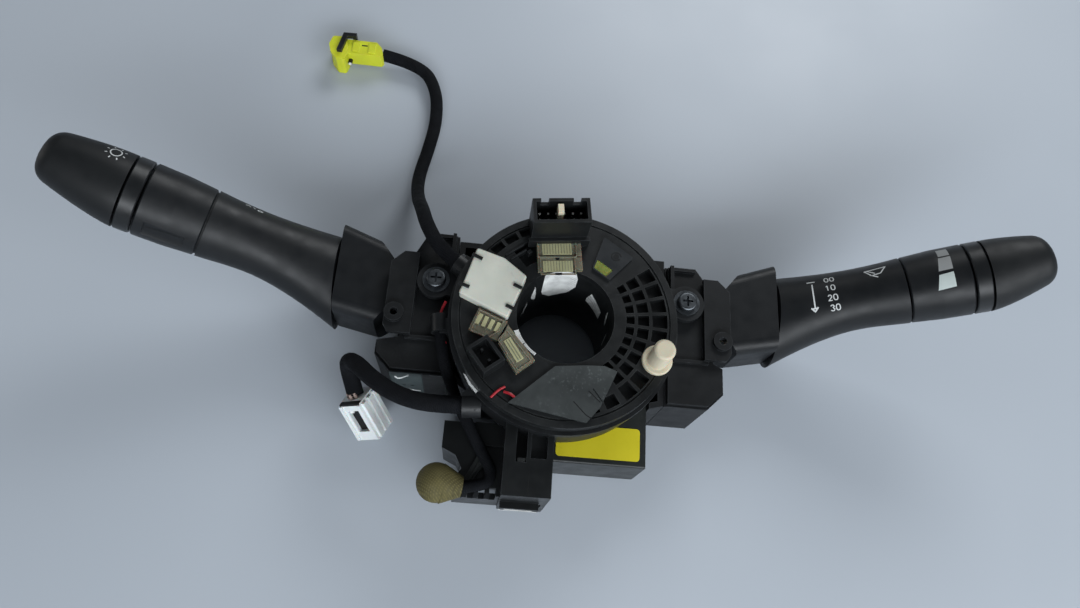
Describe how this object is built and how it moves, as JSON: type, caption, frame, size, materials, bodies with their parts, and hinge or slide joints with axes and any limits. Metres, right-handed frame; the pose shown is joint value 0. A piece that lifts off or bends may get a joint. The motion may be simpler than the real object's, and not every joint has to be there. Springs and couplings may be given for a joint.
{
  "type": "steering column switch with angle sensor",
  "caption": "Steering column combination switch: spiral cable rotor over a steering angle sensor, with a lamp lever, a wiper lever and leads with plugs.",
  "frame": {"origin": "steering axis at the back face, the centre of the column bore", "axes": "+Z along the steering axis towards the steering wheel, +X from the lamp lever to the wiper lever, +Y up as the driver sees it"},
  "size_m": [0.3948, 0.2255, 0.0761],
  "materials": {
    "housing": "satin moulded",
    "lever": "fine grained satin",
    "white_plastic": "satin moulded",
    "clear_retainer": "cloudy clear",
    "grey_plate": "satin",
    "index_window": "tinted clear",
    "yellow_plastic": "moulded",
    "label": "printed film",
    "sleeve": "matt sleeve",
    "tape": "wound cloth tape",
    "flat_cable": "film",
    "board": "coated board",
    "terminal": "tinned",
    "screw": "dark zinc"
  },
  "bodies": {
    "base": {"column_base": "housing", "stator_case": "housing", "stator_ring": "housing", "flat_cable_coil": "flat_cable", "connector_block": "housing", "connector_block_pins": "terminal", "connector_block_clip": "white_plastic", "sas_case": "housing", "sas_cover": "housing", "sas_board": "board", "sas_label": "label", "ear_screws": "screw", "left_switch_case": "housing", "right_switch_case": "housing", "left_switch_cover": "housing", "right_switch_cover": "housing", "left_contact_board": "board", "right_contact_board": "board", "airbag_lead": "sleeve", "airbag_connector": "yellow_plastic", "airbag_connector_lock": "housing", "switch_lead": "sleeve", "switch_connector": "white_plastic", "short_lead": "sleeve", "tape_cap": "tape"},
    "rotor": {"rotor_disc": "housing", "rotor_frame": "housing", "cancel_cam": "white_plastic", "sas_drive_ring": "white_plastic", "wheel_connector": "housing", "wheel_connector_pins": "terminal", "rear_retainer": "clear_retainer", "side_retainer_a": "clear_retainer", "side_retainer_b": "clear_retainer", "white_cover": "white_plastic", "white_cover_clips": "housing", "side_socket": "housing", "service_cover": "housing", "window_plate": "grey_plate", "index_window": "index_window", "locating_pin": "white_plastic"},
    "gear_a": {"sas_gear_a": "white_plastic"},
    "gear_b": {"sas_gear_b": "white_plastic"},
    "pawl": {"cancel_pawl": "white_plastic"},
    "left_turn_carrier": {"left_carrier": "white_plastic", "left_cross_pin": "terminal"},
    "left_lever": {"left_lever_root": "lever", "left_stalk": "lever", "left_index_ring": "lever"},
    "left_fog": {"left_fog_ring": "lever"},
    "left_knob": {"left_end_knob": "lever"},
    "right_turn_carrier": {"right_carrier": "white_plastic", "right_cross_pin": "terminal"},
    "right_lever": {"right_lever_root": "lever", "right_stalk": "lever", "right_index_ring": "lever"},
    "right_adjuster": {"right_adjuster_ring": "lever"},
    "right_knob": {"right_end_knob": "lever"}
  },
  "joints": [
    {"name": "rotor_turn", "type": "hinge", "parent": "base", "child": "rotor", "pos_m": [0, 0, 0.0536], "axis": [0, 0, 1], "range_deg": [-900, 900]},
    {"name": "gear_a_spin", "type": "hinge", "parent": "base", "child": "gear_a", "pos_m": [0.01241, -0.03071, 0.0182], "axis": [0, 0, 1], "range_deg": [-3345, 3345]},
    {"name": "gear_b_spin", "type": "hinge", "parent": "base", "child": "gear_b", "pos_m": [0.02649, -0.0207, 0.0182], "axis": [0, 0, 1], "range_deg": [-3125, 3125]},
    {"name": "cancel_pawl_slide", "type": "slide", "parent": "base", "child": "pawl", "axis": [1, 0, 0], "range_m": [0, 0.0022], "stiffness_N_per_m": 60},
    {"name": "turn_signal_swing", "type": "hinge", "parent": "base", "child": "left_turn_carrier", "pos_m": [-0.05654, 0.01309, 0.01977], "axis": [0, 0, 1], "range_deg": [-11, 11]},
    {"name": "beam_nod", "type": "hinge", "parent": "left_turn_carrier", "child": "left_lever", "pos_m": [-0.05654, 0.01309, 0.01977], "axis": [0.2644, 0.9644, 0], "range_deg": [-5, 8], "stiffness_Nm_per_rad": 8},
    {"name": "fog_ring_twist", "type": "hinge", "parent": "left_lever", "child": "left_fog", "pos_m": [-0.15343, 0.03221, 0.04884], "axis": [-0.9035, 0.135, 0.4067], "range_deg": [0, 40]},
    {"name": "lamp_knob_twist", "type": "hinge", "parent": "left_lever", "child": "left_knob", "pos_m": [-0.18234, 0.03653, 0.06186], "axis": [-0.9035, 0.135, 0.4067], "range_deg": [0, 60]},
    {"name": "wiper_swing", "type": "hinge", "parent": "base", "child": "right_turn_carrier", "pos_m": [0.05654, 0.01309, 0.01977], "axis": [0, 0, 1], "range_deg": [-18, 6]},
    {"name": "washer_pull", "type": "hinge", "parent": "right_turn_carrier", "child": "right_lever", "pos_m": [0.05654, 0.01309, 0.01977], "axis": [0.2644, -0.9644, 0], "range_deg": [0, 8], "stiffness_Nm_per_rad": 8},
    {"name": "adjuster_ring_twist", "type": "hinge", "parent": "right_lever", "child": "right_adjuster", "pos_m": [0.15343, 0.03221, 0.04884], "axis": [0.9035, 0.135, 0.4067], "range_deg": [-24, 24]},
    {"name": "rear_wiper_knob_twist", "type": "hinge", "parent": "right_lever", "child": "right_knob", "pos_m": [0.18234, 0.03653, 0.06186], "axis": [0.9035, 0.135, 0.4067], "range_deg": [-20, 40]}
  ],
  "couplings": [
    {"joint": "gear_a_spin", "follows": "rotor_turn", "ratio": -3.7143},
    {"joint": "gear_b_spin", "follows": "rotor_turn", "ratio": -3.4667}
  ]
}
